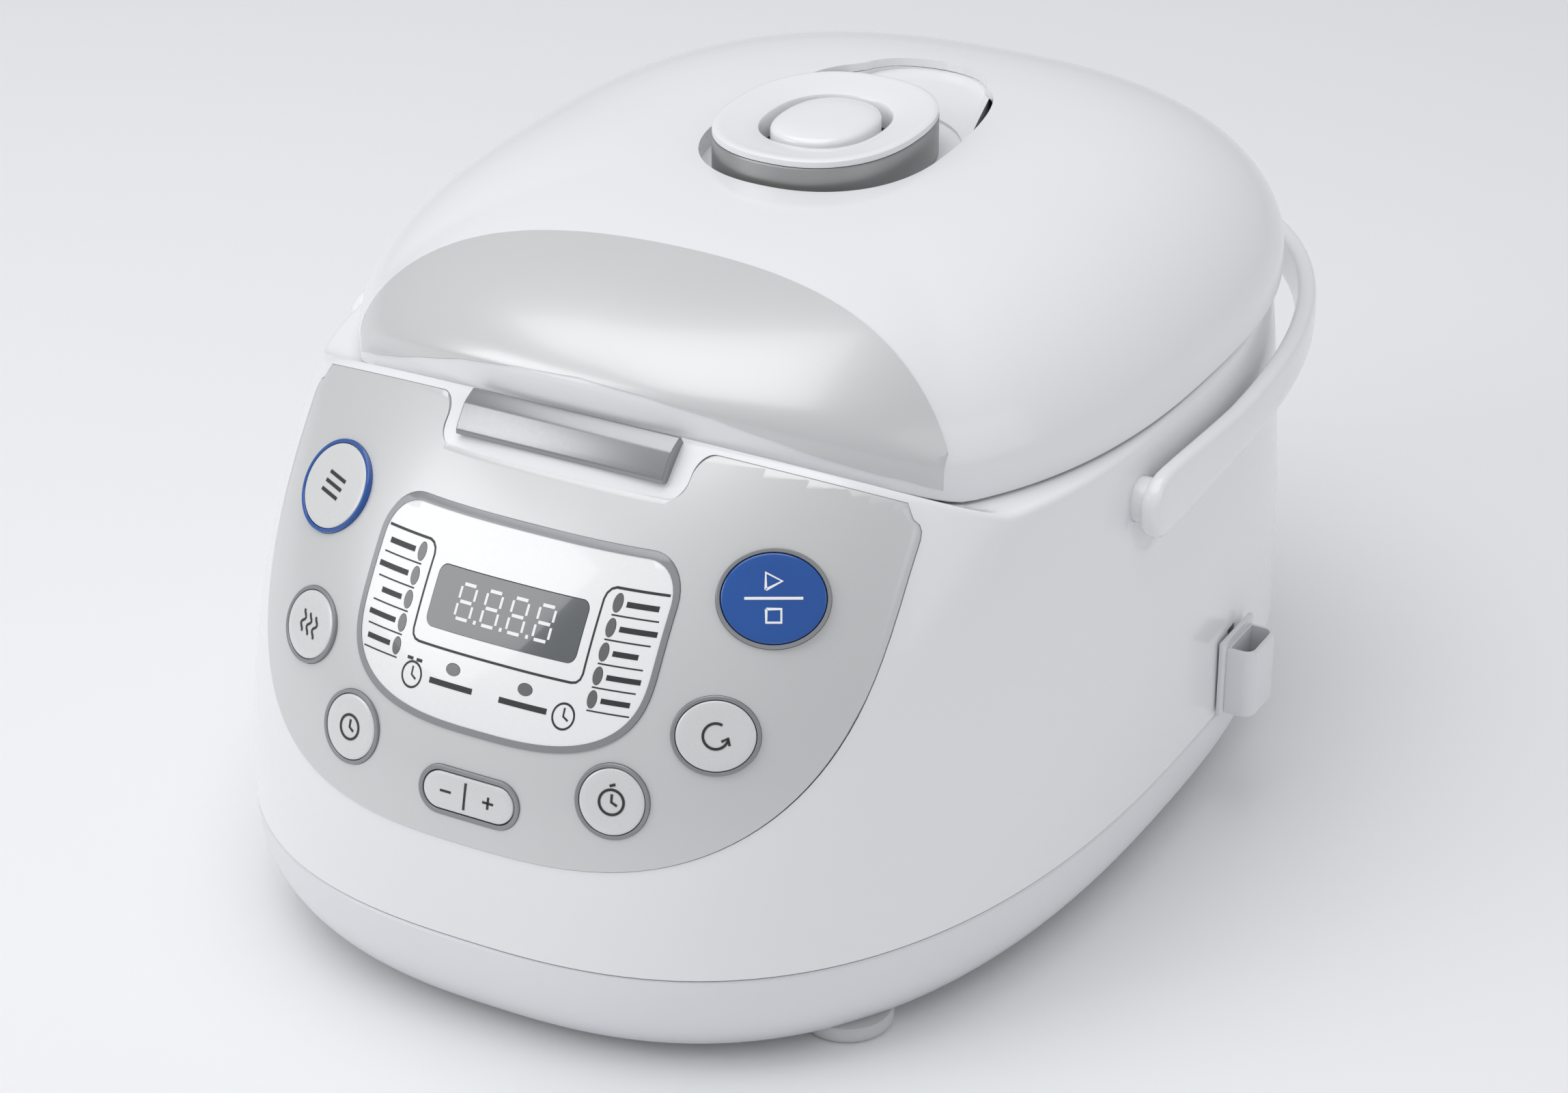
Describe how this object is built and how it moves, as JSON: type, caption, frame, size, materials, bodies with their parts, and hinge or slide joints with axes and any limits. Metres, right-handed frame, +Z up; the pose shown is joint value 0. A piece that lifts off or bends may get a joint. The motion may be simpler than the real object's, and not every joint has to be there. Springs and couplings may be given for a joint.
{
  "type": "rice cooker",
  "caption": "Rounded white electric rice cooker with a domed hinged lid, steam vent, slanted key panel with display, swing handle and side scoop holder",
  "frame": {"origin": "centre of the outer box, on the surface the feet stand on", "axes": "+Z up, the key panel faces -Y, +X is to the right of somebody facing the panel; Y runs front to back and is the longest extent"},
  "size_m": [0.2936, 0.4037, 0.214],
  "materials": {
    "shell_white": "glossy moulded ABS",
    "base_white": "semi-gloss moulded ABS",
    "rubber_foot": "soft pale rubber",
    "pearl_panel": "pearlescent lacquered ABS",
    "insert_white": "printed label plate",
    "ring_grey": "satin metallic paint",
    "display_grey": "tinted clear plastic window",
    "indicator_grey": "unlit smoked lens",
    "key_white": "glossy key cap",
    "key_blue": "blue printed key cap",
    "satin_silver": "satin metallic paint",
    "aluminium_part": "bare aluminium",
    "pot_coating": "non-stick coating on aluminium",
    "steel_part": "plain steel",
    "heater_foil": "mica band heater",
    "board_green": "glass-fibre circuit board",
    "dark_plastic": "black moulded plastic",
    "relay_blue": "blue component case",
    "fuse_tan": "ceramic case",
    "silicone": "translucent silicone"
  },
  "bodies": {
    "body": {"body_shell": "shell_white", "deck_ring": "steel_part", "base_shell": "base_white", "front_feet": "rubber_foot", "rear_feet": "rubber_foot", "well_case": "steel_part", "heating_plate": "aluminium_part", "side_heater": "heater_foil", "sensor_spring": "steel_part", "inner_pot": "pot_coating", "power_board": "board_green", "transformer": "dark_plastic", "relay": "relay_blue", "thermal_fuse": "fuse_tan", "inlet_socket": "dark_plastic", "inlet_pins": "steel_part", "base_screws": "steel_part", "control_panel": "pearl_panel", "panel_insert": "insert_white", "insert_rim": "ring_grey", "display_window": "display_grey", "indicator_lights": "indicator_grey", "control_board": "board_green", "display_module": "dark_plastic", "board_screws": "steel_part", "key_bezels": "ring_grey", "rocker_bezel": "ring_grey", "rocker_pin": "steel_part", "latch_pin": "steel_part", "latch_bracket": "base_white", "hinge_shaft": "steel_part", "hinge_bracket": "base_white", "hinge_spring": "steel_part", "handle_stop": "dark_plastic"},
    "lid": {"lid_cover": "shell_white", "vent_pan": "shell_white", "lid_trim": "pearl_panel", "lid_frame": "base_white", "inner_lid": "aluminium_part", "lid_gasket": "silicone", "lid_boss": "silicone", "lid_catch": "steel_part", "lid_screws": "steel_part"},
    "vent": {"vent_body": "satin_silver", "vent_cap": "shell_white", "vent_grommet": "silicone"},
    "latch": {"latch_button": "satin_silver"},
    "menu": {"menu_key": "key_white"},
    "keep_warm": {"keep_warm_key": "key_white"},
    "timer": {"timer_key": "key_white"},
    "preset": {"preset_key": "key_white"},
    "reheat": {"reheat_key": "key_white"},
    "start": {"start_key": "key_blue"},
    "rocker": {"time_rocker": "key_white"},
    "handle": {"handle": "shell_white"},
    "scoop": {"scoop_holder": "base_white"},
    "sensor": {"centre_sensor": "aluminium_part"}
  },
  "joints": [
    {"name": "lid_hinge", "type": "hinge", "parent": "body", "child": "lid", "pos_m": [-0.00375, 0.17, 0.157], "axis": [-1, 0, 0], "range_deg": [0, 80]},
    {"name": "vent_lift", "type": "slide", "parent": "lid", "child": "vent", "axis": [0, 0, 1], "range_m": [0, 0.03]},
    {"name": "latch_press", "type": "hinge", "parent": "body", "child": "latch", "pos_m": [-0.00375, -0.126, 0.1668], "axis": [1, 0, 0], "range_deg": [0, 3.5], "stiffness_Nm_per_rad": 1.5, "springref_deg": -5.73},
    {"name": "handle_swing", "type": "hinge", "parent": "body", "child": "handle", "pos_m": [-0.00375, -0.033, 0.135], "axis": [1, 0, 0], "range_deg": [0, 95]},
    {"name": "rocker_tilt", "type": "hinge", "parent": "body", "child": "rocker", "pos_m": [-0.00375, -0.1932, 0.08], "axis": [0, 0.2419, 0.9703], "range_deg": [-2.5, 2.5], "stiffness_Nm_per_rad": 0.5},
    {"name": "scoop_lift", "type": "slide", "parent": "body", "child": "scoop", "axis": [0, 0, 1], "range_m": [0, 0.008]},
    {"name": "sensor_travel", "type": "slide", "parent": "body", "child": "sensor", "axis": [0, 0, 1], "range_m": [-0.003, 0], "stiffness_N_per_m": 500, "springref_m": 0.002, "deforming": ["sensor_spring"]},
    {"name": "menu_press", "type": "slide", "parent": "body", "child": "menu", "axis": [0.3975, 0.7231, -0.565], "range_m": [0, 0.001], "stiffness_N_per_m": 600, "springref_m": -0.001},
    {"name": "keep_warm_press", "type": "slide", "parent": "body", "child": "keep_warm", "axis": [0.4001, 0.8132, -0.4226], "range_m": [0, 0.001], "stiffness_N_per_m": 600, "springref_m": -0.001},
    {"name": "timer_press", "type": "slide", "parent": "body", "child": "timer", "axis": [0.2135, 0.9322, -0.2924], "range_m": [0, 0.001], "stiffness_N_per_m": 600, "springref_m": -0.001},
    {"name": "preset_press", "type": "slide", "parent": "body", "child": "preset", "axis": [-0.2135, 0.9322, -0.2924], "range_m": [0, 0.001], "stiffness_N_per_m": 600, "springref_m": -0.001},
    {"name": "reheat_press", "type": "slide", "parent": "body", "child": "reheat", "axis": [-0.4001, 0.8132, -0.4226], "range_m": [0, 0.001], "stiffness_N_per_m": 600, "springref_m": -0.001},
    {"name": "start_press", "type": "slide", "parent": "body", "child": "start", "axis": [-0.3975, 0.7231, -0.565], "range_m": [0, 0.001], "stiffness_N_per_m": 600, "springref_m": -0.001}
  ]
}
